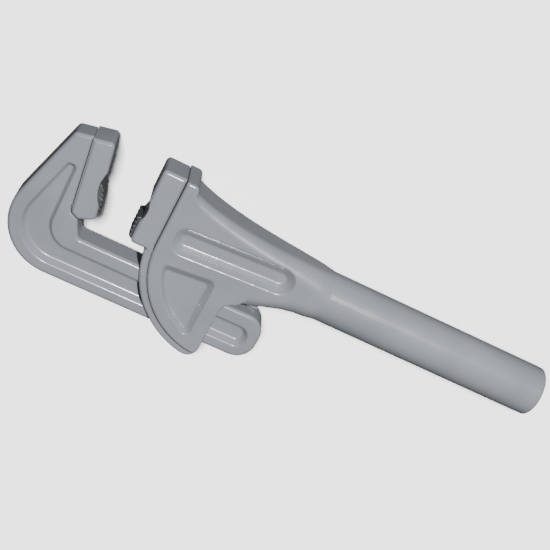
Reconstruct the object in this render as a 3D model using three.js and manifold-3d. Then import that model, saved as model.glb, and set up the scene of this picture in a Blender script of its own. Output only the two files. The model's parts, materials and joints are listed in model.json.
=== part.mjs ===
// A 350 mm pipe wrench: a cast body with a round hollow handle, a heel jaw, and a hook jaw
// whose shank slides through a D-shaped housing, driven by a worm under the shank.
// Lengths are in millimetres. While it is modelled, +X runs along the handle to its end,
// +Y points the way the jaws reach, Z = 0 is the middle plane and the handle's axis is Y = 0.
// The last lines move the whole wrench so that it lies on its rear face with +Z up.
import * as THREE from "three";
import { mergeVertices } from "three/addons/utils/BufferGeometryUtils.js";
import Module from "manifold-3d";

const wasm = await Module();
wasm.setup();

// ---- driving dimensions ----
const HANDLE_R = 16.5; // also half the thickness of the head and neck
const HANDLE_END_X = 175;
const HANDLE_BORE_R = 12.5;
const HANDLE_BORE_START_X = 28;
const NECK_END_X = 20; // the neck has become the round handle here
const NECK_START_X = -83;

const BORDER_HALF = 13.6; // half thickness of the housing's lower border and of both jaw blocks
const HOUSING_X = -33; // centre of the housing's arcs
const HOUSING_Y = -11;
const BORDER_R = 62;
const FACE_R = 56.7;
const HOUSING_RIGHT_X = -36.6;
const HEEL_FACE_X = -104.8;
const HEEL_BACK_X = -89.5;
const HEEL_FOOT_Y = -16.4;
const HEAD_TOP_Y = 35.4;

const SHANK_HALF = 10.6;
const SHANK_TOP_Y = -29.5;
const SHANK_BOTTOM_Y = -60.5;
const TAIL_END_X = -4.5;
const ELBOW_X = -144;
const ELBOW_Y = -26.9;
const ELBOW_R = 33.6;
const CAST_DRAFT = 1.5; // the rounded edge round each face of the jaws

const JAW_TILT = THREE.MathUtils.degToRad(8.7); // the hook's tooth face leans outwards
const HOOK_FACE_X = -133.1; // middle of the hook's tooth face
const HOOK_FACE_Y = 11.5;

const WORM_PITCH = 5;
const WORM_CREST_R = 6.6;
const WORM_ROOT_R = 4.6;
const WORM_Y = -65.3;
const WORM_START_X = -55;
const WORM_END_X = -41.5;
const THREAD_CREST = 1.4; // thread width at its crest and at its root
const THREAD_BASE = 3.2;

const TONGUE_HALF = 5; // half width and depth of the tongues that carry the jaw blocks
const TONGUE_DEPTH = 6.2;
const INSERT_HALF = 10;
const INSERT_SEAT = 3.8; // how deep an insert sits in its block, and how far it stands out
const INSERT_PROUD = 2.2;
const TOOTH_PITCH = 3;
const TOOTH_DEPTH = 1.5;
const GAP = 0.3; // clearance between pieces that touch

// ---- materials ----
const enamel = new THREE.MeshStandardMaterial({ color: 0x9aa1aa, roughness: 0.35, metalness: 0.1 });
const toolSteel = new THREE.MeshStandardMaterial({ color: 0x4b4e52, roughness: 0.45, metalness: 0.9 });
const brightSteel = new THREE.MeshStandardMaterial({ color: 0xa9adb2, roughness: 0.3, metalness: 1.0 });
const springSteel = new THREE.MeshStandardMaterial({ color: 0x5d646e, roughness: 0.35, metalness: 1.0 });

// ---- outlines: lists of [x, y] points, anticlockwise ----
const ARC_ERROR = 0.06; // how far a chord may lie inside its arc

function arc(cx, cy, r, fromDeg, toDeg) {
  const from = THREE.MathUtils.degToRad(fromDeg);
  const sweep = THREE.MathUtils.degToRad(toDeg) - from;
  const step = 2 * Math.acos(1 - Math.min(0.5, ARC_ERROR / r));
  const count = Math.max(2, Math.ceil(Math.abs(sweep) / step));
  return Array.from({ length: count + 1 }, (_, i) => {
    const a = from + (sweep * i) / count;
    return [cx + r * Math.cos(a), cy + r * Math.sin(a)];
  });
}

// Rounds each corner [x, y, radius]; a corner with no radius stays sharp.
function rounded(corners) {
  return corners.flatMap(([x, y, r], i) => {
    if (!r) return [[x, y]];
    const here = new THREE.Vector2(x, y);
    const [before, after] = [corners.at(i - 1), corners[(i + 1) % corners.length]].map(
      ([px, py]) => new THREE.Vector2(px, py).sub(here).normalize(),
    );
    const half = Math.acos(THREE.MathUtils.clamp(before.dot(after), -1, 1)) / 2;
    const centre = before.clone().add(after).normalize().multiplyScalar(r / Math.sin(half)).add(here);
    const start = before.multiplyScalar(r / Math.tan(half)).add(here).sub(centre);
    const turn = Math.sign(start.cross(after.multiplyScalar(r / Math.tan(half)).add(here).sub(centre)));
    const from = THREE.MathUtils.radToDeg(start.angle());
    return arc(centre.x, centre.y, r, from, from + turn * (180 - THREE.MathUtils.radToDeg(2 * half)));
  });
}

// Moves every side inwards by a distance, which may depend on the point.
function inset(points, distance) {
  const amount = typeof distance === "function" ? distance : () => distance;
  return points.map((p, i) => {
    const [a, b] = [points.at(i - 1), points[(i + 1) % points.length]];
    const normals = [[a, p], [p, b]].map(([s, e]) => {
      return new THREE.Vector2(s[1] - e[1], e[0] - s[0]).normalize();
    });
    const bisector = normals[0].clone().add(normals[1]).normalize();
    bisector.multiplyScalar(amount(p) / Math.max(0.3, bisector.dot(normals[0])));
    return [p[0] + bisector.x, p[1] + bisector.y];
  });
}

// ---- solids ----
function solidOf(geometry) {
  const bare = geometry.index ? geometry.toNonIndexed() : geometry.clone();
  const only = new THREE.BufferGeometry().setAttribute("position", bare.getAttribute("position"));
  const merged = mergeVertices(only, 1e-4);
  return new wasm.Manifold(
    new wasm.Mesh({
      numProp: 3,
      vertProperties: new Float32Array(merged.attributes.position.array),
      triVerts: new Uint32Array(merged.index.array),
    }),
  );
}

function geometryOf(solid) {
  const { numProp, vertProperties, triVerts } = solid.getMesh();
  const positions = new Float32Array(triVerts.length * 3);
  triVerts.forEach((vertex, i) => {
    positions.set(vertProperties.subarray(vertex * numProp, vertex * numProp + 3), i * 3);
  });
  const geometry = new THREE.BufferGeometry();
  geometry.setAttribute("position", new THREE.BufferAttribute(positions, 3));
  geometry.computeVertexNormals();
  return geometry;
}

// Skins a closed run of rings, each with the same number of 3-D points, and caps both ends.
function skin(rings, capTriangles) {
  const count = rings[0].length;
  const index = [];
  for (let k = 0; k + 1 < rings.length; k++) {
    for (let i = 0; i < count; i++) {
      const j = (i + 1) % count;
      const [a, b, c, d] = [k * count + i, k * count + j, (k + 1) * count + i, (k + 1) * count + j];
      index.push(a, b, d, a, d, c);
    }
  }
  const top = (rings.length - 1) * count;
  capTriangles.forEach(([a, b, c]) => index.push(c, b, a, top + a, top + b, top + c));
  const geometry = new THREE.BufferGeometry();
  geometry.setAttribute("position", new THREE.Float32BufferAttribute(rings.flat(2), 3));
  geometry.setIndex(index);
  return solidOf(geometry);
}

// A solid between outlines [z, points] stacked along Z, lowest first.
function stack(layers) {
  const contour = layers[0][1].map(([x, y]) => new THREE.Vector2(x, y));
  const rings = layers.map(([z, points]) => points.map(([x, y]) => [x, y, z]));
  return skin(rings, THREE.ShapeUtils.triangulateShape(contour, []));
}

// A flat plate, symmetric about Z = 0, with an optional slope round both faces.
function plate(points, half, slope = 0, depth = slope) {
  if (!slope) return stack([[-half, points], [half, points]]);
  const face = inset(points, slope);
  return stack([[-half, face], [depth - half, points], [half - depth, points], [half, face]]);
}

// The material to take out of both faces for a pocket whose walls slope in by `slope`. The walls
// on the +X and +Y sides may lean more: `lean` is how much further in they meet the floor.
function pockets(points, half, depth, slope, lean = [0, 0]) {
  const even = inset(points, slope);
  const low = [0, 1].map((axis) => Math.min(...even.map((p) => p[axis])));
  const high = [0, 1].map((axis) => Math.max(...even.map((p) => p[axis])));
  const shrink = [0, 1].map((axis) => 1 - lean[axis] / (high[axis] - low[axis]));
  const floor = even.map((p) => p.map((v, axis) => low[axis] + (v - low[axis]) * shrink[axis]));
  const front = stack([[half - depth, floor], [half, points], [half + GAP, points]]);
  const rear = stack([[-half - GAP, points], [-half, points], [depth - half, floor]]);
  return front.add(rear);
}

function box(x0, x1, y0, y1, z0, z1) {
  const geometry = new THREE.BoxGeometry(x1 - x0, y1 - y0, z1 - z0);
  return solidOf(geometry.translate((x0 + x1) / 2, (y0 + y1) / 2, (z0 + z1) / 2));
}

// A cylinder between two points that lie on a line along one axis.
function rod(r, from, to, sides = 24) {
  const [a, b] = [new THREE.Vector3(...from), new THREE.Vector3(...to)];
  const along = b.clone().sub(a);
  const geometry = new THREE.CylinderGeometry(r, r, along.length(), sides);
  geometry.applyQuaternion(
    new THREE.Quaternion().setFromUnitVectors(new THREE.Vector3(0, 1, 0), along.normalize()),
  );
  return solidOf(geometry.translate(...a.add(b).multiplyScalar(0.5)));
}

function crossPin(r, x, y, z0, z1) {
  return rod(r, [x, y, z0], [x, y, z1], 20);
}

function piece(name, solid, material) {
  const mesh = new THREE.Mesh(geometryOf(solid), material);
  mesh.name = name;
  return mesh;
}

// ---- the cast body ----
const RING_CORNER_POINTS = 10;
const NECK_TAPER = 6; // how much the neck's back edge rises evenly, and flares, towards the head
const NECK_FLARE = 8.5;
const BELLY_START_X = 2; // the neck's belly starts to deepen here, up to BELLY_DEPTH below the axis
const BELLY_SLOPE = 0.28;
const BELLY_DEPTH = 26;

// A rounded-rectangle section of the neck or handle in the plane at x.
function bodySection(x, radius) {
  const run = THREE.MathUtils.clamp((NECK_END_X - x) / (NECK_END_X - NECK_START_X), 0, 1);
  const top = radius + NECK_TAPER * run + NECK_FLARE * run ** 4;
  const bottom = -Math.min(BELLY_DEPTH, radius + BELLY_SLOPE * Math.max(0, BELLY_START_X - x));
  const corner = Math.min(radius * 0.995, THREE.MathUtils.lerp(radius, 5, run ** 0.45));
  const middle = (top + bottom) / 2;
  const reach = (top - bottom) / 2 - corner;
  return [[1, 1], [-1, 1], [-1, -1], [1, -1]].flatMap(([sy, sz], quarter) =>
    Array.from({ length: RING_CORNER_POINTS }, (_, i) => {
      const a = (Math.PI / 2) * (quarter + i / (RING_CORNER_POINTS - 1));
      const y = middle + sy * reach + corner * Math.cos(a);
      return [x, y, sz * (radius - corner) + corner * Math.sin(a)];
    }),
  );
}

function neckAndHandle() {
  const END_ROUND = 1.4;
  const neckSteps = 14;
  const stations = Array.from({ length: neckSteps + 1 }, (_, i) => [
    THREE.MathUtils.lerp(NECK_START_X, NECK_END_X, i / neckSteps),
    HANDLE_R,
  ]);
  stations.push([HANDLE_END_X - END_ROUND, HANDLE_R], [HANDLE_END_X, HANDLE_R - END_ROUND]);
  const rings = stations.map(([x, radius]) => bodySection(x, radius));
  const flat = rings[0].map(([, y, z]) => new THREE.Vector2(y, z));
  return skin(rings, THREE.ShapeUtils.triangulateShape(flat, []));
}

// The raised D-shaped face of the head, and the lower border that stands out round it.
const FILLET_R = 9; // where the housing meets the neck's belly
function headPlates() {
  const face = rounded([
    [-81.8, HEAD_TOP_Y, 3],
    [HEEL_BACK_X, HEAD_TOP_Y],
    ...arc(HOUSING_X, HOUSING_Y, FACE_R, 181, 258),
    [HOUSING_RIGHT_X, HOUSING_Y - FACE_R, 4],
    ...arc(HOUSING_RIGHT_X + FILLET_R, -34, FILLET_R, 180, 100),
    [-24, -19],
    [-50, 0],
    [-74, 18],
    [-76.5, 25.6],
    [-80.3, 29],
  ]);
  const border = rounded([
    [HEEL_BACK_X, HEEL_FOOT_Y],
    ...arc(HOUSING_X, HOUSING_Y, BORDER_R, 185, 257),
    [HOUSING_RIGHT_X, HOUSING_Y - BORDER_R + 0.3, 7],
    [HOUSING_RIGHT_X, -30],
    [-55, -5],
  ]);
  return plate(face, HANDLE_R, 1).add(plate(border, BORDER_HALF, 1));
}

const SLOT_TILT = 3; // degrees
function neckPockets() {
  const [halfLength, halfWidth, depth] = [39.7, 9.3, 6.2];
  const shape = rounded([
    ...arc(halfLength - halfWidth, 0, halfWidth, -90, 90),
    [-halfLength, halfWidth, 7.4],
    [-halfLength, -halfWidth, 7.4],
  ]);
  const cut = pockets(shape, HANDLE_R, depth, 4.9, [0, 1.8]);
  return cut.rotate([0, 0, SLOT_TILT]).translate([-42.5, 1.6, 0]);
}

const POCKET_ARC_R = 48;
const POCKET_RIGHT_X = -46.4;
function housingPockets() {
  const shape = rounded([
    [POCKET_RIGHT_X, -15.2, 4],
    [-81, -18.6, 3.4],
    ...arc(HOUSING_X, HOUSING_Y, POCKET_ARC_R, 196, 243),
    [POCKET_RIGHT_X, -60, 3.4],
  ]);
  return pockets(shape, HANDLE_R, 4.1, 2.4, [1.4, 2.4]);
}

const WINDOW_HALF = SHANK_HALF + 0.4;
const SHOE_START_X = -86;
const SHOE_END_X = -46;
const SHOE_HALF = 8;
const SHOE_TOP_Y = -26.9;
const SPRING_SEAT_Y = -23;
const LUG_GROOVE_X = -41.5;

// Everything cut away inside the housing: the shank's window, the shoe and spring pocket,
// the worm's window with its pin hole, and the groove that the stop lug slides back into.
function housingWindows() {
  const shankWindow = box(-105, -30, SHANK_BOTTOM_Y - 0.7, SHANK_TOP_Y + 1.3, -WINDOW_HALF, WINDOW_HALF);
  const shoePocket = box(
    SHOE_START_X - 1.5, SHOE_END_X + 1.5, SHANK_TOP_Y, SPRING_SEAT_Y, -SHOE_HALF - 0.7, SHOE_HALF + 0.7,
  );
  const wormWindow = box(
    WORM_START_X - GAP, WORM_END_X + GAP, -80, SHANK_BOTTOM_Y, -WORM_CREST_R - 0.5, WORM_CREST_R + 0.5,
  );
  const pinHole = rod(PIN_R + 0.25, [PIN_START_X - GAP, WORM_Y, 0], [-30, WORM_Y, 0]);
  const pinHeadSeat = rod(PIN_HEAD_R + GAP, [PIN_HEAD_X - GAP, WORM_Y, 0], [-30, WORM_Y, 0]);
  const lugGroove = box(LUG_GROOVE_X, TAIL_END_X + 20, SHANK_TOP_Y, LUG_TOP_Y + 1.3, LUG_Z0 - 1, LUG_Z1 + 1);
  return [shoePocket, wormWindow, pinHole, pinHeadSeat, lugGroove].reduce((a, b) => a.add(b), shankWindow);
}

function bodyCasting() {
  const tongue = box(
    HEEL_BACK_X - TONGUE_DEPTH, HEEL_BACK_X + 2, HEEL_FOOT_Y - 2, HEEL_TONGUE_TOP, -TONGUE_HALF, TONGUE_HALF,
  );
  const bore = rod(HANDLE_BORE_R, [HANDLE_BORE_START_X, 0, 0], [HANDLE_END_X + 5, 0, 0], 40);
  const rivetHole = rod(1.5, [RIVET_X, SPRING_SEAT_Y - 1, 0], [RIVET_X, RIVET_TOP_Y + GAP, 0], 16);
  return neckAndHandle()
    .add(headPlates())
    .add(tongue)
    .subtract(neckPockets())
    .subtract(housingPockets())
    .subtract(housingWindows())
    .subtract(bore)
    .subtract(rivetHole)
    .subtract(crossPin(2.5, HEEL_PIN_X, HEEL_PIN_Y, -30, HEEL_PIN_Z1 + GAP))
    .subtract(crossPin(1.7, PLUG_PIN_X, 0, -30, 0));
}

// ---- handle end ----
const PLUG_LENGTH = 16;
const PLUG_PIN_X = HANDLE_END_X - 9;
function endPlug() {
  const CHAMFER = 0.8;
  const r = HANDLE_BORE_R - GAP;
  const profile = [
    [0, 0],
    [r - CHAMFER, 0],
    [r, CHAMFER],
    [r, PLUG_LENGTH - CHAMFER],
    [r - CHAMFER, PLUG_LENGTH],
    [0, PLUG_LENGTH],
  ];
  const lathe = new THREE.LatheGeometry(profile.map(([x, y]) => new THREE.Vector2(x, y)), 40);
  return solidOf(lathe)
    .rotate([0, 0, -90])
    .translate([HANDLE_END_X - PLUG_LENGTH, 0, 0])
    .subtract(crossPin(1.7, PLUG_PIN_X, 0, -30, 0));
}

// ---- heel jaw ----
const HEEL_TONGUE_TOP = 28;
const HEEL_PIN_X = HEEL_BACK_X - 3.3;
const HEEL_PIN_Y = 20;
const HEEL_PIN_Z1 = 9;
const HEEL_INSERT_Y0 = -15;
const HEEL_INSERT_Y1 = 0;
const HEEL_INSERT_PIN_Y = -8;
const INSERT_PIN_X = 1.9; // measured from the tooth face into the block
const INSERT_PIN_R = 1.2;

// A serrated insert in a block whose face is at x = 0 and looks along -X, from y0 to y1.
// Its teeth rise to their full height over the length `ramp` from y0.
function toothInsert(y0, y1, ramp = 0) {
  const teeth = Math.floor((y1 - y0) / TOOTH_PITCH);
  const crest = (y) => -INSERT_PROUD * (ramp ? Math.min(1, 0.25 + (y - y0) / ramp) : 1);
  const profile = [[INSERT_SEAT - GAP, y0], [INSERT_SEAT - GAP, y1], [crest(y1) + TOOTH_DEPTH, y1]];
  for (let i = 0; i < teeth; i++) {
    const y = y1 - i * TOOTH_PITCH;
    const top = crest(y - TOOTH_PITCH / 2);
    profile.push([top, y - TOOTH_PITCH * 0.25], [top, y - TOOTH_PITCH * 0.4]);
    if (i < teeth - 1) profile.push([crest(y - TOOTH_PITCH) + TOOTH_DEPTH, y - TOOTH_PITCH]);
  }
  profile.push([crest(y0) + TOOTH_DEPTH, y0]);
  return plate(profile, INSERT_HALF - GAP);
}

function insertSeat(y0, y1) {
  return box(-INSERT_PROUD - 5, INSERT_SEAT, y0 - GAP, y1 + GAP, -INSERT_HALF, INSERT_HALF);
}

function insertPinHole(y) {
  return crossPin(INSERT_PIN_R + 0.2, INSERT_PIN_X, y, -30, INSERT_HALF + 1.5);
}

// The shallow hollow in the tooth face above an insert.
function scallop(r, depth, y) {
  return rod(r, [depth - r, y, -30], [depth - r, y, 30], 72);
}

function heelJaw() {
  const outline = rounded([
    [HEEL_BACK_X - GAP, HEEL_FOOT_Y + GAP],
    [HEEL_BACK_X - GAP, HEAD_TOP_Y],
    [HEEL_FACE_X, HEAD_TOP_Y, 2.4],
    [HEEL_FACE_X, HEEL_FOOT_Y + GAP, 2.4],
  ]);
  const groove = box(
    HEEL_BACK_X - TONGUE_DEPTH - GAP, HEEL_BACK_X + 1, HEEL_FOOT_Y - 5, HEEL_TONGUE_TOP + GAP,
    -TONGUE_HALF - GAP, TONGUE_HALF + GAP,
  );
  return plate(outline, BORDER_HALF, CAST_DRAFT)
    .subtract(groove)
    .subtract(insertSeat(HEEL_INSERT_Y0, HEEL_INSERT_Y1).translate([HEEL_FACE_X, 0, 0]))
    .subtract(scallop(14, 2, 6).translate([HEEL_FACE_X, 0, 0]))
    .subtract(crossPin(2.5, HEEL_PIN_X, HEEL_PIN_Y, -30, HEEL_PIN_Z1 + GAP))
    .subtract(insertPinHole(HEEL_INSERT_PIN_Y).translate([HEEL_FACE_X, 0, 0]));
}

// ---- hook jaw ----
const CHANNEL_DEPTH = 4;
const ARM_INNER_X = -133.2;

// The frame of the tooth block: its own x runs into the arm and its own y along the tooth face.
const toBlock = (solid) => {
  const turned = solid.rotate([0, 0, THREE.MathUtils.radToDeg(JAW_TILT) + 180]);
  return turned.translate([HOOK_FACE_X, HOOK_FACE_Y, 0]);
};

// A point of the tooth block's frame in the wrench's frame.
function blockPoint(x, y) {
  const turned = new THREE.Vector2(-x, -y).rotateAround(new THREE.Vector2(), JAW_TILT);
  return [turned.x + HOOK_FACE_X, turned.y + HOOK_FACE_Y];
}

// The tooth block's outline in its own frame: a little wider at its foot than at its top.
const BLOCK_TOP = [[-0.3, -25.5], [12.6, -24.7]];
const BLOCK_FOOT = [[14.3, 24.2], [9.4, 27.6], [-1, 24.8]];

function hookOutline() {
  const [, seatTop] = BLOCK_TOP.map(([x, y]) => blockPoint(x + GAP, y));
  const [seatBack, seatFoot] = BLOCK_FOOT.map(([x, y]) => blockPoint(x + GAP, y + GAP));
  return rounded([
    [TAIL_END_X, SHANK_TOP_Y, 12],
    [ARM_INNER_X, SHANK_TOP_Y, 3],
    seatFoot,
    [...seatBack, 2.4],
    seatTop,
    [-160.2, 31.8, 3],
    ...arc(ELBOW_X, ELBOW_Y, ELBOW_R, 162, 270),
    [TAIL_END_X, SHANK_BOTTOM_Y, 13],
  ]);
}

// The long channel that follows the hook from its tip round the elbow to the tail.
function channel() {
  const tipY = 13.2;
  const innerX = -151;
  const [top, bottom] = [-38.6, -53.4];
  const shape = rounded([
    [-11.4, top, 7.2],
    [innerX, top, 14],
    [innerX, tipY, 2.7],
    [-157, tipY, 2.9],
    ...arc(ELBOW_X + 0.5, ELBOW_Y - 1.1, 25.4, 164, 268),
    [-11.4, bottom, 7.2],
  ]);
  const lower = ([, y]) => THREE.MathUtils.clamp(THREE.MathUtils.mapLinear(y, -34, -50, 1.9, 3.6), 1.9, 3.6);
  return pockets(shape, SHANK_HALF, CHANNEL_DEPTH, lower);
}

const RACK_START_X = -76.5; // middle of the first groove; it stays in step with the thread
const RACK_GROOVES = 12;
const RACK_HALF = 5.6;
function rackGrooves() {
  const depth = WORM_Y + WORM_CREST_R + GAP - SHANK_BOTTOM_Y;
  const [mouth, floor] = [THREAD_BASE / 2 + 0.3, THREAD_CREST / 2 + 0.35];
  const leadAngle = Math.atan(WORM_PITCH / (Math.PI * (WORM_CREST_R + WORM_ROOT_R)));
  const tooth = [[-mouth, 0], [-mouth, -2], [mouth, -2], [mouth, 0], [floor, depth], [-floor, depth]];
  const one = plate(tooth, RACK_HALF).rotate([0, THREE.MathUtils.radToDeg(leadAngle), 0]);
  const grooves = Array.from({ length: RACK_GROOVES }, (_, i) =>
    one.translate([RACK_START_X + i * WORM_PITCH, SHANK_BOTTOM_Y, 0]),
  );
  return grooves.reduce((a, b) => a.add(b));
}

const BLOCK_TONGUE_HALF = 17;
const BLOCK_TONGUE_X = 6.8;
const BLOCK_PIN_X = 9.4;
const BLOCK_PIN_Y = [-12, 9];
function hookJaw() {
  const tongue = box(
    BLOCK_TONGUE_X, BLOCK_TONGUE_X + 10, -BLOCK_TONGUE_HALF, BLOCK_TONGUE_HALF, -TONGUE_HALF, TONGUE_HALF,
  );
  return plate(hookOutline(), SHANK_HALF, CAST_DRAFT)
    .add(toBlock(tongue))
    .subtract(channel())
    .subtract(rackGrooves())
    .subtract(toBlock(blockPinHoles()))
    .subtract(lugRod(1.9, LUG_SCREW_FOOT_Y - GAP, 0));
}

function blockPinHoles() {
  return BLOCK_PIN_Y.map((y) => crossPin(2, BLOCK_PIN_X, y, -30, 9 + GAP)).reduce((a, b) => a.add(b));
}

const HOOK_INSERT_Y0 = 3; // in the tooth block's frame, where y grows towards the shank
const HOOK_INSERT_Y1 = 22.5;
const HOOK_INSERT_RAMP = 13;
const HOOK_INSERT_PIN_Y = 17.5;
function toothBlock() {
  const [[x0, y0], topBack] = BLOCK_TOP;
  const [back, foot, [x1, y1]] = BLOCK_FOOT;
  const outline = rounded([[x0, y0, 2.6], topBack, [...back, 2.4], [...foot, 3], [x1, y1, 2.6]]);
  const groove = box(
    BLOCK_TONGUE_X - GAP, 20, -BLOCK_TONGUE_HALF - GAP, BLOCK_TONGUE_HALF + GAP,
    -TONGUE_HALF - GAP, TONGUE_HALF + GAP,
  );
  return plate(outline, BORDER_HALF, CAST_DRAFT)
    .subtract(groove)
    .subtract(insertSeat(HOOK_INSERT_Y0, HOOK_INSERT_Y1))
    .subtract(scallop(22, 2.3, 4.5))
    .subtract(blockPinHoles())
    .subtract(insertPinHole(HOOK_INSERT_PIN_Y));
}

// ---- stop lug on the tail ----
const LUG_TOP_Y = -25.7;
const LUG_Z0 = -10.2;
const LUG_Z1 = -2;
const LUG_SCREW_X = TAIL_END_X - 12;
const LUG_SCREW_Z = (LUG_Z0 + LUG_Z1) / 2;
const LUG_SCREW_FOOT_Y = -37.5;

// A cylinder on the lug screw's axis.
function lugRod(r, y0, y1, sides = 16) {
  return rod(r, [LUG_SCREW_X, y0, LUG_SCREW_Z], [LUG_SCREW_X, y1, LUG_SCREW_Z], sides);
}

function stopLug() {
  const profile = rounded([
    [LUG_SCREW_X - 3.6, SHANK_TOP_Y + GAP],
    [LUG_SCREW_X + 3.6, SHANK_TOP_Y + GAP],
    [LUG_SCREW_X + 3.6, LUG_TOP_Y, 1],
    [LUG_SCREW_X - 3.6, LUG_TOP_Y, 1],
  ]);
  const body = stack([[LUG_Z0, profile], [LUG_Z1, profile]]);
  return body
    .subtract(lugRod(1.9, -40, 0))
    .subtract(lugRod(3, LUG_TOP_Y - 1.8, 0, 20));
}

function lugScrew() {
  const shaft = lugRod(1.6, LUG_SCREW_FOOT_Y, LUG_TOP_Y - 1);
  const head = lugRod(2.7, LUG_TOP_Y - 1.5, LUG_TOP_Y - 0.1, 20);
  const slot = box(
    LUG_SCREW_X - 0.4, LUG_SCREW_X + 0.4, LUG_TOP_Y - 0.7, 0, LUG_SCREW_Z - 4, LUG_SCREW_Z + 4,
  );
  return shaft.add(head).subtract(slot);
}

// ---- adjusting worm, its pin and its spring ----
const PIN_R = 1.75;
const PIN_START_X = -58.6;
const PIN_HEAD_R = 3.2;
const PIN_HEAD_X = -38.6;
const WORM_SPRING_X0 = WORM_START_X + GAP / 2;
const WORM_SPRING_X1 = WORM_START_X + 5.5;

// The thread's radius at x and at angle `a` about +X, counted from +Y towards +Z.
function threadRadius(x, a) {
  const turns = (x - RACK_START_X) / WORM_PITCH - a / (2 * Math.PI);
  const off = Math.abs(turns - Math.round(turns)) * WORM_PITCH * 2;
  const flank = THREE.MathUtils.clamp(off, THREAD_CREST, THREAD_BASE);
  return THREE.MathUtils.mapLinear(flank, THREAD_CREST, THREAD_BASE, WORM_CREST_R, WORM_ROOT_R);
}

function worm() {
  const [rows, sides] = [30, 32];
  const rings = Array.from({ length: rows + 1 }, (_, k) => {
    const x = THREE.MathUtils.lerp(WORM_START_X, WORM_END_X, k / rows);
    return Array.from({ length: sides }, (_, i) => {
      const a = (2 * Math.PI * i) / sides;
      const r = threadRadius(x, a);
      return [x, r * Math.cos(a), r * Math.sin(a)];
    });
  });
  const fan = Array.from({ length: sides - 2 }, (_, i) => [0, i + 1, i + 2]);
  const bore = rod(PIN_R + 0.25, [-80, 0, 0], [0, 0, 0], 24);
  const springSeat = rod(3.2, [-80, 0, 0], [WORM_SPRING_X1 + GAP, 0, 0], 24);
  return skin(rings, fan).subtract(bore).subtract(springSeat).translate([0, WORM_Y, 0]);
}

function wormPin() {
  const shaft = rod(PIN_R, [PIN_START_X, WORM_Y, 0], [PIN_HEAD_X + 1, WORM_Y, 0]);
  const head = rod(PIN_HEAD_R, [PIN_HEAD_X, WORM_Y, 0], [HOUSING_RIGHT_X - 0.1, WORM_Y, 0]);
  const slot = box(HOUSING_RIGHT_X - 1, 0, WORM_Y - 0.5, WORM_Y + 0.5, -5, 5);
  return shaft.add(head).subtract(slot);
}

class Helix extends THREE.Curve {
  constructor(radius, x0, x1, turns) {
    super();
    Object.assign(this, { radius, x0, x1, turns });
  }
  getPoint(t, target = new THREE.Vector3()) {
    const a = 2 * Math.PI * this.turns * t;
    const x = THREE.MathUtils.lerp(this.x0, this.x1, t);
    return target.set(x, WORM_Y + this.radius * Math.cos(a), this.radius * Math.sin(a));
  }
}

function wormSpring() {
  const [wire, turns] = [0.3, 4];
  const section = new THREE.Shape().absarc(0, 0, wire, 0, 2 * Math.PI);
  const geometry = new THREE.ExtrudeGeometry(section, {
    steps: turns * 14,
    curveSegments: 3,
    extrudePath: new Helix(2.55, WORM_SPRING_X0 + wire, WORM_SPRING_X1 - wire, turns),
  });
  return solidOf(geometry);
}

// ---- shoe and leaf spring above the shank ----
const RIVET_X = SHOE_START_X + 4;
const RIVET_TOP_Y = SPRING_SEAT_Y + 5;
const LEAF_THICKNESS = 0.8;

function guideShoe() {
  const profile = rounded([
    [SHOE_END_X, SHANK_TOP_Y + 0.2],
    [SHOE_END_X, SHOE_TOP_Y],
    [SHOE_START_X, SHOE_TOP_Y],
    [SHOE_START_X, SHANK_TOP_Y + 0.2],
  ]);
  return plate(profile, SHOE_HALF, 0.5);
}

// A bowed strip: both ends lie on the spring seat and its middle reaches down to the shoe.
function leafSpring() {
  const [x0, x1] = [SHOE_START_X + 1, SHOE_END_X - 1];
  const top = SPRING_SEAT_Y - GAP;
  const rise = top - LEAF_THICKNESS - (SHOE_TOP_Y + 0.6);
  const flat = RIVET_X + 3;
  const bow = (x) => (x < flat ? 0 : rise * Math.sin((Math.PI * (x - flat)) / (x1 - flat)) ** 2);
  const xs = Array.from({ length: 21 }, (_, i) => THREE.MathUtils.lerp(x0, x1, i / 20));
  const upper = xs.map((x) => [x, top - bow(x)]);
  const lower = xs.map((x) => [x, top - LEAF_THICKNESS - bow(x)]);
  const strip = plate([...lower, ...upper.reverse()], 5.5);
  return strip.subtract(rod(1.5, [RIVET_X, -40, 0], [RIVET_X, 0, 0], 16));
}

function leafRivet() {
  const shaft = rod(1.2, [RIVET_X, SPRING_SEAT_Y - 1.8, 0], [RIVET_X, RIVET_TOP_Y, 0], 16);
  const headTop = SPRING_SEAT_Y - LEAF_THICKNESS - 2 * GAP;
  return shaft.add(rod(2.4, [RIVET_X, headTop - 0.9, 0], [RIVET_X, headTop, 0], 20));
}

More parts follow.
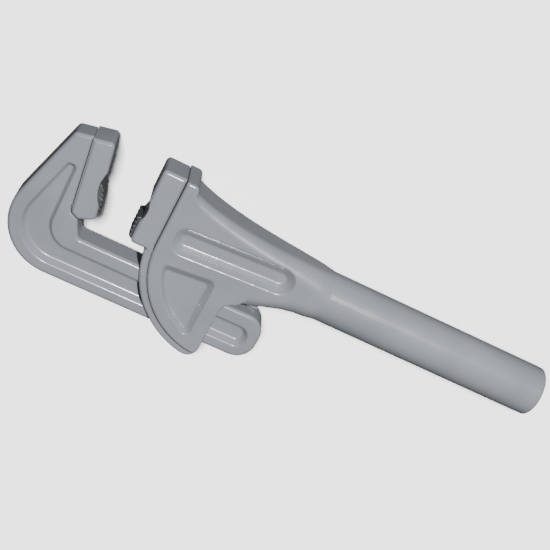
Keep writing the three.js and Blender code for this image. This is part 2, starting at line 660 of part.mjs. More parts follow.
// ---- assembly ----
const wrench = new THREE.Group();
wrench.add(
  piece("body_casting", bodyCasting(), enamel),
  piece("handle_end_plug", endPlug(), enamel),
  piece("end_plug_pin", crossPin(1.4, PLUG_PIN_X, 0, -HANDLE_R + 0.4, -3), brightSteel),
  piece("heel_jaw", heelJaw(), enamel),
  piece("heel_jaw_pin", crossPin(2.2, HEEL_PIN_X, HEEL_PIN_Y, -BORDER_HALF, HEEL_PIN_Z1), brightSteel),
  piece(
    "heel_tooth_insert",
    toothInsert(HEEL_INSERT_Y0, HEEL_INSERT_Y1)
      .subtract(insertPinHole(HEEL_INSERT_PIN_Y))
      .translate([HEEL_FACE_X, 0, 0]),
    toolSteel,
  ),
  piece(
    "heel_insert_pin",
    crossPin(INSERT_PIN_R, HEEL_FACE_X + INSERT_PIN_X, HEEL_INSERT_PIN_Y, -BORDER_HALF, INSERT_HALF + 1),
    brightSteel,
  ),
  piece("leaf_spring", leafSpring(), springSteel),
  piece("leaf_spring_rivet", leafRivet(), brightSteel),
  piece("guide_shoe", guideShoe(), brightSteel),
  piece("adjusting_worm", worm(), brightSteel),
  piece("worm_pin", wormPin(), brightSteel),
  piece("worm_spring", wormSpring(), springSteel),
  piece("hook_jaw", hookJaw(), enamel),
  piece("hook_jaw_block", toBlock(toothBlock()), enamel),
  piece(
    "hook_tooth_insert",
    toBlock(
      toothInsert(HOOK_INSERT_Y0, HOOK_INSERT_Y1, HOOK_INSERT_RAMP).subtract(
        insertPinHole(HOOK_INSERT_PIN_Y),
      ),
    ),
    toolSteel,
  ),
  piece(
    "hook_insert_pin",
    toBlock(crossPin(INSERT_PIN_R, INSERT_PIN_X, HOOK_INSERT_PIN_Y, -BORDER_HALF, INSERT_HALF + 1)),
    brightSteel,
  ),
  piece("jaw_stop_lug", stopLug(), enamel),
  piece("stop_lug_screw", lugScrew(), brightSteel),
);
BLOCK_PIN_Y.forEach((y, i) => {
  const pin = crossPin(1.7, BLOCK_PIN_X, y, -BORDER_HALF, 9);
  wrench.add(piece(`hook_block_pin_${i + 1}`, toBlock(pin), brightSteel));
});

// The wrench lies on its rear face, centred on the middle of its outline.
const bounds = new THREE.Box3().setFromObject(wrench);
const centre = bounds.getCenter(new THREE.Vector3());
wrench.position.set(-centre.x, -centre.y, -bounds.min.z);

export default wrench;
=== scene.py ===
"""The looks of a 350 mm pipe wrench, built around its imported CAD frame.

Cast pieces are the CAD solids remeshed finely and smoothed, so that every edge is a soft cast
fillet, and then cut again where the real piece is machined. Pins, the worm, its spring and the
plug are turned or swept here. Lengths are in millimetres unless a name says otherwise.
"""

import json
import math

import bmesh
import bpy
from mathutils import Matrix, Vector


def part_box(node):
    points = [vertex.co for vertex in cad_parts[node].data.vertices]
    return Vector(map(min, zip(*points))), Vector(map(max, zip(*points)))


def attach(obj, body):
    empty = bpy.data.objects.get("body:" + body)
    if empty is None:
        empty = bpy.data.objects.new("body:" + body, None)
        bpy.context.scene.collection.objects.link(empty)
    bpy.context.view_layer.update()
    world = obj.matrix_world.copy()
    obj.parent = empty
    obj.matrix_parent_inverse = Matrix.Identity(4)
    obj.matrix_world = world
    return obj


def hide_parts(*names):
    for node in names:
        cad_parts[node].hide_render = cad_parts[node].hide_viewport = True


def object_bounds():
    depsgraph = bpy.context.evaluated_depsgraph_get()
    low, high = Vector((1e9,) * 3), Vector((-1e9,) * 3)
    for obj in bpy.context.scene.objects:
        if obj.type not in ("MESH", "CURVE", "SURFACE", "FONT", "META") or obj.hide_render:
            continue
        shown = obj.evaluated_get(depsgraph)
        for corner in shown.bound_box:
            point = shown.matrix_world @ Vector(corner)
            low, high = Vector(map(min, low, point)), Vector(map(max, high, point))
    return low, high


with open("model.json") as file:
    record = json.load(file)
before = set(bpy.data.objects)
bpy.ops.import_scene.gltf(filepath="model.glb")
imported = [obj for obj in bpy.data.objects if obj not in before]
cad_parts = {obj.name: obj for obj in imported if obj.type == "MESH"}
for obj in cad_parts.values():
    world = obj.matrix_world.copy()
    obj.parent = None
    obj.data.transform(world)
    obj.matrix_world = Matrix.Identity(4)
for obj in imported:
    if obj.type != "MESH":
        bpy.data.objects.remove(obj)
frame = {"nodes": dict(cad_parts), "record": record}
cad_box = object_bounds()
nodes = frame["nodes"]
bodies = frame["record"]["behaviour"]["bodies"]
body_of = {node: body for body, members in bodies.items() for node in members}

MM = 0.001
HANDLE_END_X = 175  # the handle's end, counted from the origin of the wrench's own drawing
plug_low, plug_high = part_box("handle_end_plug")
plug_middle = (plug_low + plug_high) / 2
ORIGIN = Vector((plug_high.x - HANDLE_END_X * MM, plug_middle.y, plug_middle.z))

TRIANGLE_LIMIT = 190_000  # for one piece


def at(x, y, z):
    """A point of the wrench's own drawing, in the row frame: Y = 0 and Z = 0 are the handle's axis."""
    return ORIGIN + Vector((x, y, z)) * MM


# ---- meshes ----


def smooth_step(t):
    t = min(1, max(0, t))
    return t * t * (3 - 2 * t)


def new_object(name, points, faces):
    mesh = bpy.data.meshes.new(name)
    mesh.from_pydata(points, [], faces)
    obj = bpy.data.objects.new(name, mesh)
    bpy.context.scene.collection.objects.link(obj)
    return obj


def edit(obj, action):
    """Runs a function on the object's mesh as a bmesh."""
    bm = bmesh.new()
    bm.from_mesh(obj.data)
    action(bm)
    bm.to_mesh(obj.data)
    bm.free()


def face_outwards(obj):
    edit(obj, lambda bm: bmesh.ops.recalc_face_normals(bm, faces=bm.faces))
    return obj


def apply_modifiers(obj):
    shown = obj.evaluated_get(bpy.context.evaluated_depsgraph_get())
    mesh = bpy.data.meshes.new_from_object(shown)
    obj.modifiers.clear()
    obj.data = mesh
    mesh.name = obj.name
    return obj


def modify(obj, kind, **settings):
    modifier = obj.modifiers.new(kind.lower(), kind)
    for name, value in settings.items():
        setattr(modifier, name, value)
    return apply_modifiers(obj)


def thin(obj):
    triangles = sum(len(face.vertices) - 2 for face in obj.data.polygons)
    if triangles > TRIANGLE_LIMIT:
        modify(obj, "DECIMATE", ratio=TRIANGLE_LIMIT / triangles)
    return obj


def joined(obj, others):
    """Adds other objects' meshes to this one, which may overlap until it is remeshed."""
    for other in others:
        edit(obj, lambda bm, mesh=other.data: bm.from_mesh(mesh))
        bpy.data.objects.remove(other)
    return obj


def cut(obj, cutter):
    """Takes a closed shape out of a closed piece, leaving crisp machined edges."""
    modify(obj, "BOOLEAN", operation="DIFFERENCE", object=cutter, solver="MANIFOLD")
    bpy.data.objects.remove(cutter)
    return obj


def prism(outline, z0, z1):
    """A closed solid from an outline of drawing points, between two heights."""
    count = len(outline)
    points = [at(x, y, z) for z in (z0, z1) for x, y in outline]
    sides = [(i, (i + 1) % count, count + (i + 1) % count, count + i) for i in range(count)]
    ends = [tuple(reversed(range(count))), tuple(range(count, 2 * count))]
    return face_outwards(new_object("cutter", points, sides + ends))


def block(x0, x1, y0, y1, z0, z1):
    return prism([(x0, y0), (x1, y0), (x1, y1), (x0, y1)], z0, z1)


def softened(node, voxel, passes, extra=()):
    """A fine copy of a CAD node in which each edge has become a small fillet."""
    obj = bpy.data.objects.new(f"{node}_look", nodes[node].data.copy())
    bpy.context.scene.collection.objects.link(obj)
    obj.data.materials.clear()
    edit(obj, lambda bm: bmesh.ops.remove_doubles(bm, verts=bm.verts, dist=MM * 0.0001))
    joined(obj, extra)
    modify(obj, "REMESH", mode="VOXEL", voxel_size=voxel * MM)
    return modify(obj, "SMOOTH", factor=0.5, iterations=passes)


AXES = {
    "X": Matrix(((0, 0, 1), (1, 0, 0), (0, 1, 0))),
    "Y": Matrix(((0, 1, 0), (0, 0, 1), (1, 0, 0))),
    "Z": Matrix.Identity(3),
}


def turned(name, profile, base, axis, sides=64):
    """A closed lathe-turned solid. The profile is (radius, distance from base) from pole to pole."""
    turn = AXES[axis]
    rings = [(r, h) for r, h in profile if r > 0]
    points = [base + turn @ Vector((0, 0, profile[0][1])) * MM]
    for r, h in rings:
        for i in range(sides):
            a = math.tau * i / sides
            points.append(base + turn @ Vector((r * math.cos(a), r * math.sin(a), h)) * MM)
    points.append(base + turn @ Vector((0, 0, profile[-1][1])) * MM)
    last = len(points) - 1
    faces = []
    for i in range(sides):
        j = (i + 1) % sides
        faces.append((0, 1 + j, 1 + i))
        for k in range(len(rings) - 1):
            low, high = 1 + k * sides, 1 + (k + 1) * sides
            faces.append((low + i, low + j, high + j, high + i))
        top = 1 + (len(rings) - 1) * sides
        faces.append((top + i, top + j, last))
    return face_outwards(new_object(name, points, faces))


# ---- materials: every one is made of nodes, in the piece's own space ----


class Shade:
    """A material being wired: each method adds one node and returns its useful output."""

    def __init__(self, name):
        self.material = bpy.data.materials.new(name)
        self.material.use_nodes = True
        self.tree = self.material.node_tree
        self.shader = self.tree.nodes["Principled BSDF"]
        self.place = self.add("ShaderNodeTexCoord").outputs["Object"]

    def add(self, kind, settings=None, **inputs):
        node = self.tree.nodes.new(kind)
        for key, value in (settings or {}).items():
            setattr(node, key, value)
        for key, value in inputs.items():
            self.put(node.inputs[key.replace("_", " ")], value)
        return node

    def put(self, socket, value):
        if isinstance(value, bpy.types.NodeSocket):
            self.tree.links.new(value, socket)
        else:
            socket.default_value = value

    def set(self, **inputs):
        for key, value in inputs.items():
            self.put(self.shader.inputs[key.replace("_", " ")], value)

    def noise(self, scale, detail=2.0, stretch=None):
        place = self.place
        if stretch:
            place = self.add("ShaderNodeMapping", Vector=place, Scale=stretch).outputs["Vector"]
        return self.add("ShaderNodeTexNoise", Vector=place, Scale=scale, Detail=detail).outputs["Fac"]

    def span(self, value, low, high, start=0.0, end=1.0):
        settings = {"interpolation_type": "SMOOTHSTEP", "clamp": True}
        node = self.add("ShaderNodeMapRange", settings, Value=value)
        for key, number in (("From Min", low), ("From Max", high), ("To Min", start), ("To Max", end)):
            node.inputs[key].default_value = number
        return node.outputs["Result"]

    def product(self, a, b):
        node = self.add("ShaderNodeMath", {"operation": "MULTIPLY"})
        self.put(node.inputs[0], a)
        self.put(node.inputs[1], b)
        return node.outputs["Value"]

    def mix(self, amount, a, b):
        node = self.add("ShaderNodeMix", {"data_type": "RGBA"})
        self.put(node.inputs["Factor"], amount)
        colours = [socket for socket in node.inputs if socket.type == "RGBA"]
        self.put(colours[0], a)
        self.put(colours[1], b)
        return next(socket for socket in node.outputs if socket.type == "RGBA")

    def bump(self, height, depth, strength=1.0, under=None):
        """Relief of a given depth in millimetres, which may lie on coarser relief."""
        node = self.add("ShaderNodeBump", Height=height, Strength=strength, Distance=depth * MM)
        if under is not None:
            self.put(node.inputs["Normal"], under)
        return node.outputs["Normal"]

    def edges(self, low, high):
        """How much a point lies on an outward edge (low < high) or in an inward one."""
        shape = self.add("ShaderNodeNewGeometry").outputs["Pointiness"]
        return self.span(shape, low, high)


def enamel():
    """Blue-grey enamel on a casting: faint mottling, orange peel, thin paint on the edges that also carries
    a painted highlight there, and dirt with painted shade in the creases.
    """
    s = Shade("blue_grey_enamel")
    cloud = s.span(s.noise(26, 4), 0.32, 0.68)
    colour = s.mix(cloud, (0.252, 0.272, 0.300, 1), (0.280, 0.300, 0.328, 1))
    # dirt and painted shade: concave creases, seams and recess corners darken towards near black, broken up
    # by noise
    dirt_and_crease_shade = s.product(s.edges(0.487, 0.45), s.span(s.noise(160, 4), 0.25, 0.7, 0.35, 1.0))
    colour = s.mix(s.product(dirt_and_crease_shade, 0.85), colour, (0.060, 0.064, 0.072, 1))
    # thin paint on outward edges, a lighter blue-grey that also stands as a painted highlight along them
    worn = s.product(s.edges(0.515, 0.56), s.span(s.noise(240, 5), 0.4, 0.66))
    colour = s.mix(s.product(worn, 0.15), colour, (0.50, 0.52, 0.55, 1))
    sand = s.bump(s.noise(330, 4), 0.07, 0.5)
    peel = s.bump(s.noise(1100, 2), 0.03, 0.35, under=sand)
    rough = s.span(s.noise(70, 5), 0.3, 0.7, 0.27, 0.36)
    s.set(Base_Color=colour, Roughness=rough, Normal=peel, Metallic=0.0)
    s.set(Coat_Weight=0.55, Coat_Roughness=0.14, Coat_IOR=1.6, Specular_IOR_Level=0.65)
    return s.material


def tool_steel():
    """Black-oxide hardened steel, rubbed bright on the crests of its teeth."""
    s = Shade("black_oxide_steel")
    cloud = s.span(s.noise(120, 5), 0.3, 0.7)
    colour = s.mix(cloud, (0.13, 0.135, 0.145, 1), (0.20, 0.20, 0.205, 1))
    worn = s.product(s.edges(0.52, 0.62), s.span(s.noise(420, 4), 0.35, 0.62, 0.15, 1.0))
    colour = s.mix(s.product(worn, 0.8), colour, (0.44, 0.44, 0.45, 1))
    grinding = s.bump(s.noise(1.0, 2, (300, 300, 5200)), 0.012, 0.5)
    rough = s.span(s.noise(260, 4), 0.3, 0.7, 0.34, 0.50)
    s.set(Base_Color=colour, Roughness=rough, Normal=grinding, Metallic=0.7)
    return s.material


def turned_steel(axis):
    """Bright machined steel with fine turning marks around one axis and a trace of oil."""
    s = Shade(f"turned_steel_{axis.lower()}")
    along, across = 5200, 90
    stretch = tuple(along if name == axis else across for name in "XYZ")
    marks = s.noise(1.0, 3, stretch)
    cloud = s.span(s.noise(95, 4), 0.3, 0.7)
    colour = s.mix(cloud, (0.38, 0.385, 0.395, 1), (0.47, 0.475, 0.48, 1))
    stain = s.span(s.noise(210, 5), 0.56, 0.72)
    colour = s.mix(s.product(stain, 0.35), colour, (0.20, 0.17, 0.14, 1))
    worn = s.edges(0.53, 0.60)
    colour = s.mix(s.product(worn, 0.5), colour, (0.66, 0.66, 0.66, 1))
    rough = s.span(marks, 0.3, 0.7, 0.22, 0.36)
    s.set(Base_Color=colour, Roughness=rough, Normal=s.bump(marks, 0.014, 0.6), Metallic=1.0)
    return s.material


def spring_steel():
    """Tempered spring steel: blue-grey scale that shades to straw in places."""
    s = Shade("tempered_spring_steel")
    cloud = s.span(s.noise(140, 3), 0.3, 0.7)
    colour = s.mix(cloud, (0.11, 0.13, 0.18, 1), (0.20, 0.18, 0.16, 1))
    scale = s.noise(700, 4)
    rough = s.span(scale, 0.3, 0.7, 0.28, 0.42)
    s.set(Base_Color=colour, Roughness=rough, Normal=s.bump(scale, 0.01, 0.5), Metallic=1.0)
    return s.material


ENAMEL = enamel()
TOOL_STEEL = tool_steel()
TURNED = {axis: turned_steel(axis) for axis in AXES}
SPRING_STEEL = spring_steel()


def finished(obj, node, material, smooth_angle=math.radians(40)):
    """Puts a piece in the place of its CAD node."""
    obj.name = obj.data.name = f"{node}_look"
    thin(obj)
    obj.data.materials.clear()
    obj.data.materials.append(material)
    obj.data.shade_smooth()
    obj.data.set_sharp_from_angle(angle=smooth_angle)
    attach(obj, body_of[node])
    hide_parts(node)
    return obj


# ---- castings ----
CAST_VOXEL = 0.5
CAST_PASSES = 7
CAST_SHARP = math.radians(70)

SHANK_BOTTOM_Y = -60.5
RACK_START_X = -76.5  # middle of the rack's first groove
RACK_GROOVES = 12
RACK_HALF = 5.6
RACK_DEPTH = 2.1
WORM_PITCH = 5
WORM_ROOT_R = 4.6
WORM_CREST_R = 6.6


def rack_groove(middle_x):
    """A cutter for one slanted groove of the rack, milled across the underside of the shank."""
    mouth, floor, outside = 1.9, 1.05, 1.5
    lead = WORM_PITCH / (math.pi * (WORM_CREST_R + WORM_ROOT_R))
    section = [(-mouth, -outside), (mouth, -outside), (mouth, 0)]
    section += [(floor, RACK_DEPTH), (-floor, RACK_DEPTH), (-mouth, 0)]
    points = []
    for z in (-RACK_HALF, RACK_HALF):
        points += [at(middle_x + x + z * lead, SHANK_BOTTOM_Y + y, z) for x, y in section]
    count = len(section)
    sides = [(i, (i + 1) % count, count + (i + 1) % count, count + i) for i in range(count)]
    ends = [tuple(range(count)), tuple(range(count, 2 * count))]
    return face_outwards(new_object("cutter", points, sides + ends))


# The seams between the jaws' castings are machined flat, so the rounding stops at them: each
# casting is made a little too long there, and is cut back to its seam after it is rounded.
GAP = 0.3
SPARE = 1.4
JAW_TILT = math.radians(8.7)
HOOK_FACE = (-133.1, 11.5)
BLOCK_BACK_X, BLOCK_BACK_Y, BLOCK_BACK_LEAN = 12.6, -24.7, 0.0348
BLOCK_FLAT_END_Y = 20
TONGUE_HALF = 5
TONGUE_END_Y = -17
HOOK_TIP = (-160.2, 31.8)
SHANK_HALF = 10.6
BORDER_HALF = 13.6
CAST_DRAFT = 1.5
SLOT_X, SLOT_HALF_Y, SLOT_HALF_Z = 6.5, 17.3, 5.3  # the tooth block's slot, cut from its back
BEYOND = 20  # well outside a casting's faces


def block_point(x, y):
    """A drawing point given in the tooth block's frame: x into the arm, y towards the shank."""
    cos, sin = math.cos(JAW_TILT), math.sin(JAW_TILT)
    return (HOOK_FACE[0] - x * cos + y * sin, HOOK_FACE[1] - x * sin - y * cos)


def seam(y, off=0.0):
    """A point on the back of the tooth block, or `off` behind it."""
    return block_point(BLOCK_BACK_X + (y - BLOCK_BACK_Y) * BLOCK_BACK_LEAN + off, y)


def cast_hook():
    rack_end_x = RACK_START_X + (RACK_GROOVES - 1) * WORM_PITCH
    filling = block(RACK_START_X - 3, rack_end_x + 3, SHANK_BOTTOM_Y, SHANK_BOTTOM_Y + 3, -6.5, 6.5)
    tip = Vector(seam(BLOCK_BACK_Y, GAP))
    ahead = tip + (tip - Vector(HOOK_TIP)).normalized() * SPARE
    end = BLOCK_FLAT_END_Y
    spare = prism([ahead, tip, seam(BLOCK_BACK_Y + 1, 2), seam(end, 2), seam(end, GAP - SPARE)],
                  CAST_DRAFT - SHANK_HALF, SHANK_HALF - CAST_DRAFT)
    hook = softened("hook_jaw", CAST_VOXEL, CAST_PASSES, [filling, spare])
    grooves = [rack_groove(RACK_START_X + i * WORM_PITCH) for i in range(RACK_GROOVES)]
    cut(hook, joined(grooves[0], grooves[1:]))
    above = BLOCK_BACK_Y - 10
    sides = [(end, TONGUE_HALF, BEYOND), (end, -BEYOND, -TONGUE_HALF)]
    for y, z0, z1 in [*sides, (TONGUE_END_Y, -BEYOND, BEYOND)]:
        cut(hook, prism([seam(above, GAP), seam(y, GAP), seam(y, GAP - 9), seam(above, GAP - 9)], z0, z1))
    finished(hook, "hook_jaw", ENAMEL, CAST_SHARP)


def cast_tooth_block():
    end, flat = BLOCK_FLAT_END_Y, BORDER_HALF - CAST_DRAFT
    top = BLOCK_BACK_Y
    spare = prism([seam(top, -SPARE), seam(top, SPARE), seam(end, SPARE), seam(end, -SPARE)], -flat, flat)
    mouth = [(SLOT_X, -SLOT_HALF_Y), (BEYOND, -SLOT_HALF_Y), (BEYOND, SLOT_HALF_Y), (SLOT_X, SLOT_HALF_Y)]
    slot = prism([block_point(x, y) for x, y in mouth], -SLOT_HALF_Z, SLOT_HALF_Z)
    piece = softened("hook_jaw_block", CAST_VOXEL, CAST_PASSES, [spare])
    cut(piece, slot)
    cut(piece, prism([seam(top - 10), seam(top - 10, 9), seam(end, 9), seam(end)], -BEYOND, BEYOND))
    finished(piece, "hook_jaw_block", ENAMEL, CAST_SHARP)


HEEL_BACK_X = -89.5
HEEL_FOOT_Y = -16.4
BORDER_EDGE_X = -93.4  # where the flat of the housing's lower border starts, at the heel's foot
OPEN_X = -110  # in the open, ahead of the heel


def cast_heel_and_body():
    """The heel's foot and the housing's border meet in a hairline seam."""
    foot_y = HEEL_FOOT_Y + GAP
    spare = block(BORDER_EDGE_X, HEEL_BACK_X - GAP, foot_y - SPARE, foot_y + 3, -BORDER_HALF, BORDER_HALF)
    heel = softened("heel_jaw", CAST_VOXEL, CAST_PASSES, [spare])
    cut(heel, block(OPEN_X, HEEL_BACK_X + 5, foot_y - 5, foot_y, -BEYOND, BEYOND))
    finished(heel, "heel_jaw", ENAMEL, CAST_SHARP)
    top_y = HEEL_FOOT_Y
    spare = block(BORDER_EDGE_X, HEEL_BACK_X + 1, top_y - 3, top_y + SPARE, -BORDER_HALF, BORDER_HALF)
    body = softened("body_casting", CAST_VOXEL, CAST_PASSES, [spare])
    for z0, z1 in ((TONGUE_HALF, BORDER_HALF), (-BORDER_HALF, -TONGUE_HALF)):
        cut(body, block(OPEN_X, HEEL_BACK_X, top_y, top_y + 4, z0 * 1.001, z1 * 1.001))
    finished(body, "body_casting", ENAMEL, CAST_SHARP)


def castings():
    cast_hook()
    cast_tooth_block()
    cast_heel_and_body()
    finished(softened("jaw_stop_lug", 0.2, 4), "jaw_stop_lug", ENAMEL, CAST_SHARP)


# ---- hardened and ground pieces ----


def ground_pieces():
    for node in ("heel_tooth_insert", "hook_tooth_insert"):
        finished(softened(node, 0.16, 1), node, TOOL_STEEL, CAST_SHARP)
    finished(softened("guide_shoe", 0.22, 3), "guide_shoe", TURNED["Z"], CAST_SHARP)
    finished(softened("leaf_spring", 0.15, 2), "leaf_spring", SPRING_STEEL, CAST_SHARP)


# ---- turned pieces ----


def cross_pins():
    """Pins along Z: a chamfer at each end and a centre-drilled mark in the rear end."""
    pins = ["end_plug_pin", "heel_jaw_pin", "heel_insert_pin", "hook_insert_pin"]
    for node in [*pins, "hook_block_pin_1", "hook_block_pin_2"]:
        low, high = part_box(node)
        length = (high.z - low.z) / MM
        r = (high.x - low.x) / 2 / MM
        base = Vector(((low.x + high.x) / 2, (low.y + high.y) / 2, low.z))
        c = r * 0.2
        profile = [(0, c * 2), (c * 1.6, 0.02), (r - c, 0), (r, c)]
        profile += [(r, length - c), (r - c, length), (0, length)]
        finished(turned(node, profile, base, "Z", 48), node, TURNED["Z"])


def end_plug():
    """The plug's face is a shallow dish inside a flat rim."""
    r = (plug_high.z - plug_low.z) / 2 / MM
    length = (plug_high.x - plug_low.x) / MM
    base = Vector((plug_low.x, plug_middle.y, plug_middle.z))
    profile = [(0, 0), (r - 0.8, 0), (r, 0.8), (r, length - 0.7), (r - 0.2, length - 0.2), (r - 0.7, length)]
    profile += [(r - 2.6, length), (r - 3.1, length - 0.2), (r - 3.9, length - 0.9), (r - 4.5, length - 1.1)]
    profile += [(0, length - 1.1)]
    finished(turned("plug", profile, base, "X", 96), "handle_end_plug", ENAMEL)


def screw_slot(node, axis, width, depth, reach):
    """A box that cuts a driver's slot in the head at the far end of a screw."""
    low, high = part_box(node)
    middle = (low + high) / 2
    half = Vector((reach, reach, reach)) * MM
    index, across = ("XYZ".index(axis), 1 if axis == "X" else 0)
    half[across] = width / 2 * MM
    half[index] = depth * MM
    middle[index] = high[index]
    x, y, z = (middle - ORIGIN) / MM
    dx, dy, dz = half / MM
    return block(x - dx, x + dx, y - dy, y + dy, z - dz, z + dz)


def screws():
    low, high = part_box("worm_pin")
    length = (high.x - low.x) / MM
    base = Vector((low.x, (low.y + high.y) / 2, (low.z + high.z) / 2))
    r, head_r, head = 1.75, 3.2, 1.9
    profile = [(0, 0), (r - 0.4, 0), (r, 0.4), (r, length - head), (head_r - 0.15, length - head)]
    profile += [(head_r, length - head + 0.15), (head_r, length - 0.6), (head_r - 0.5, length - 0.1)]
    profile += [(head_r - 1.2, length), (0, length)]
    pin = turned("worm_pin", profile, base, "X")
    finished(cut(pin, screw_slot("worm_pin", "X", 0.9, 0.9, 5)), "worm_pin", TURNED["X"])

    low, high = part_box("stop_lug_screw")
    length = (high.y - low.y) / MM
    base = Vector(((low.x + high.x) / 2, low.y, (low.z + high.z) / 2))
    r, head_r, head = 1.6, 2.7, 1.4
    profile = [(0, 0), (r - 0.4, 0), (r, 0.4), (r, length - head), (head_r - 0.1, length - head)]
    profile += [(head_r, length - head + 0.1), (head_r, length - 0.5), (head_r - 0.5, length - 0.05)]
    profile += [(head_r - 1.1, length), (0, length)]
    screw = turned("stop_lug_screw", profile, base, "Y")
    finished(cut(screw, screw_slot("stop_lug_screw", "Y", 0.8, 0.6, 4)), "stop_lug_screw", TURNED["Y"])

    low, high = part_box("leaf_spring_rivet")
    length = (high.y - low.y) / MM
    base = Vector(((low.x + high.x) / 2, low.y, (low.z + high.z) / 2))
    r, head_r, head = 1.2, 2.4, 0.9
    profile = [(0, 0), (head_r * 0.45, 0.06), (head_r * 0.75, 0.25), (head_r * 0.95, 0.6), (head_r, head)]
    profile += [(r, head), (r, length - 0.3), (r - 0.3, length), (0, length)]
    finished(turned("rivet", profile, base, "Y"), "leaf_spring_rivet", TURNED["Y"])


# ---- worm and its spring ----
THREAD_CREST = 0.7  # half the thread's width at its crest and at its root
THREAD_ROOT = 1.6
KNURLS = 27
KNURL_DEPTH = 0.4
BORE_R = 2.0
SPRING_SEAT_R = 3.2
SPRING_SEAT_DEPTH = 5.8
END_CHAMFER = 1.0


def thread_radius(x, angle, ends):
    """The worm's radius at x and at an angle about +X, counted from +Y towards +Z."""
    turns = (x - RACK_START_X) / WORM_PITCH - angle / math.tau
    off = abs(turns - round(turns)) * WORM_PITCH
    flank = smooth_step((off - THREAD_CREST) / (THREAD_ROOT - THREAD_CREST))
    knurl = KNURL_DEPTH * max(0, math.cos(KNURLS * angle)) ** 5 * (1 - flank)
    radius = WORM_CREST_R - (WORM_CREST_R - WORM_ROOT_R) * flank - knurl
    room = min(x - ends[0], ends[1] - x)
    return min(radius, WORM_CREST_R - END_CHAMFER + room)


def adjusting_worm():
    low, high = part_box("adjusting_worm")
    x0, x1 = ((v - ORIGIN.x) / MM for v in (low.x, high.x))
    axis_y = ((low.y + high.y) / 2 - ORIGIN.y) / MM
    rows, sides = 90, KNURLS * 8
    seat = x0 + SPRING_SEAT_DEPTH
    inside = [(x1, BORE_R + 0.3), (x1 - 0.3, BORE_R), (seat, BORE_R), (seat, SPRING_SEAT_R)]
    inside += [(x0 + 0.3, SPRING_SEAT_R), (x0, SPRING_SEAT_R + 0.3)]
    points = []
    for i in range(sides):
        angle = math.tau * i / sides
        xs = [x0 + (x1 - x0) * k / rows for k in range(rows + 1)]
        loop = [(x, thread_radius(x, angle, (x0, x1))) for x in xs] + inside
        points += [at(x, axis_y + r * math.cos(angle), r * math.sin(angle)) for x, r in loop]
    count = rows + 1 + len(inside)
    faces = []
    for i in range(sides):
        for k in range(count):
            a, b = i * count + k, i * count + (k + 1) % count
            c, d = ((i + 1) % sides) * count + (k + 1) % count, ((i + 1) % sides) * count + k
            faces.append((a, b, c, d))
    worm = face_outwards(new_object("worm", points, faces))
    finished(worm, "adjusting_worm", TURNED["X"], math.radians(50))


def worm_spring():
    """A compression spring whose end coils lie flat."""
    low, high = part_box("worm_spring")
    wire, radius, turns, flat = 0.3, 2.55, 4, 0.12
    x0, x1 = ((v - ORIGIN.x) / MM for v in (low.x, high.x))
    axis_y = ((low.y + high.y) / 2 - ORIGIN.y) / MM
    steps, sides = 40 * turns, 12
    points = []
    for k in range(steps + 1):
        t = k / steps
        a = math.tau * turns * t
        rise = min(1, max(0, (t - flat) / (1 - 2 * flat)))
        x = x0 + wire + (x1 - x0 - 2 * wire) * rise
        for i in range(sides):
            b = math.tau * i / sides
            r = radius + wire * math.cos(b)
            points.append(at(x + wire * math.sin(b), axis_y + r * math.cos(a), r * math.sin(a)))
    faces = [tuple(range(sides)), tuple(range(steps * sides, (steps + 1) * sides))]
    for k in range(steps):
        for i in range(sides):
            j = (i + 1) % sides
            faces.append((k * sides + i, k * sides + j, (k + 1) * sides + j, (k + 1) * sides + i))
    finished(face_outwards(new_object("spring", points, faces)), "worm_spring", SPRING_STEEL)


# ---- camera, lights and floor ----
VIEW_TILT = math.radians(25.0)
VIEW_TURN = math.radians(26.96)
AIM = at(-13.71, -1.48, 0)
DISTANCE = 0.7  # in metres, from the aim to the camera
LAMP_DISTANCE = 1.3  # in metres, from the aim to a lamp


def view_axes():
    right = Vector((math.cos(VIEW_TURN), math.sin(VIEW_TURN), 0))
    level = Vector((-math.sin(VIEW_TURN), math.cos(VIEW_TURN), 0))
    back = level * math.sin(VIEW_TILT) + Vector((0, 0, math.cos(VIEW_TILT)))
    return right, back.cross(right), back


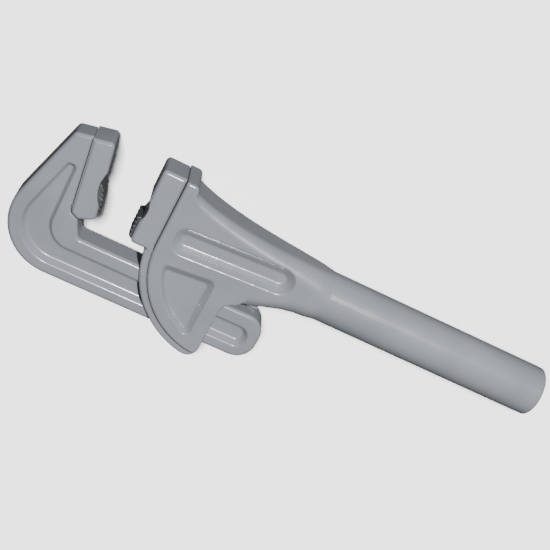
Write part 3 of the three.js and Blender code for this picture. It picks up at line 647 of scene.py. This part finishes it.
def add_camera(right, up, back):
    camera = bpy.data.objects.new("camera", bpy.data.cameras.new("camera"))
    camera.data.sensor_width = 36
    camera.data.lens = 73.5
    camera.data.clip_start = 0.01
    pose = Matrix((right, up, back)).transposed().to_4x4()
    pose.translation = AIM + back * DISTANCE
    camera.matrix_world = pose
    bpy.context.scene.collection.objects.link(camera)
    bpy.context.scene.camera = camera


def add_lamp(light, towards, power, lights_up):
    """Hangs a lamp in a direction from the aim, which lights up only the given objects."""
    light.energy = power
    holder = bpy.data.objects.new(light.name, light)
    holder.location = AIM + towards.normalized() * LAMP_DISTANCE
    holder.rotation_euler = (AIM - holder.location).to_track_quat("-Z", "Y").to_euler()
    bpy.context.scene.collection.objects.link(holder)
    lit = bpy.data.collections.new(f"lit_by_{light.name}")
    for obj in lights_up:
        lit.objects.link(obj)
    holder.light_linking.receiver_collection = lit


def add_studio(back):
    """The wrench's lamp leans over the jaws' tips. The floor has its own, from the camera's side."""
    pieces = [obj for obj in bpy.context.scene.objects if obj.type == "MESH"]
    floor = add_floor()
    key = bpy.data.lights.new("key", "AREA")
    key.shape = "DISK"
    key.size = 0.07  # in metres
    add_lamp(key, Vector((0.03, 0.49, 0.87)), 27.5, pieces)
    even = bpy.data.lights.new("even_floor_light", "SUN")
    even.angle = 0.25  # in radians
    add_lamp(even, back, 11, [floor])
    world = bpy.data.worlds.new("studio")
    world.use_nodes = True
    background = world.node_tree.nodes["Background"]
    background.inputs["Color"].default_value = (0.95, 0.97, 1, 1)
    background.inputs["Strength"].default_value = 0.09
    bpy.context.scene.world = world


def add_floor():
    reach, clearance = 4, 0.3 * MM  # in metres
    corners = [(-reach, -reach, 0), (reach, -reach, 0), (reach, reach, 0), (-reach, reach, 0)]
    floor = new_object("floor", corners, [(0, 1, 2, 3)])
    floor.location.z = cad_box[0][2] - clearance
    s = Shade("floor")
    s.set(Base_Color=(0.92, 0.92, 0.92, 1), Roughness=0.9, Specular_IOR_Level=0.2)
    floor.data.materials.append(s.material)
    floor.visible_diffuse = floor.visible_glossy = False  # the floor throws no light back up
    return floor


castings()
ground_pieces()
cross_pins()
end_plug()
screws()
adjusting_worm()
worm_spring()

axes = view_axes()
add_camera(*axes)
add_studio(axes[2])
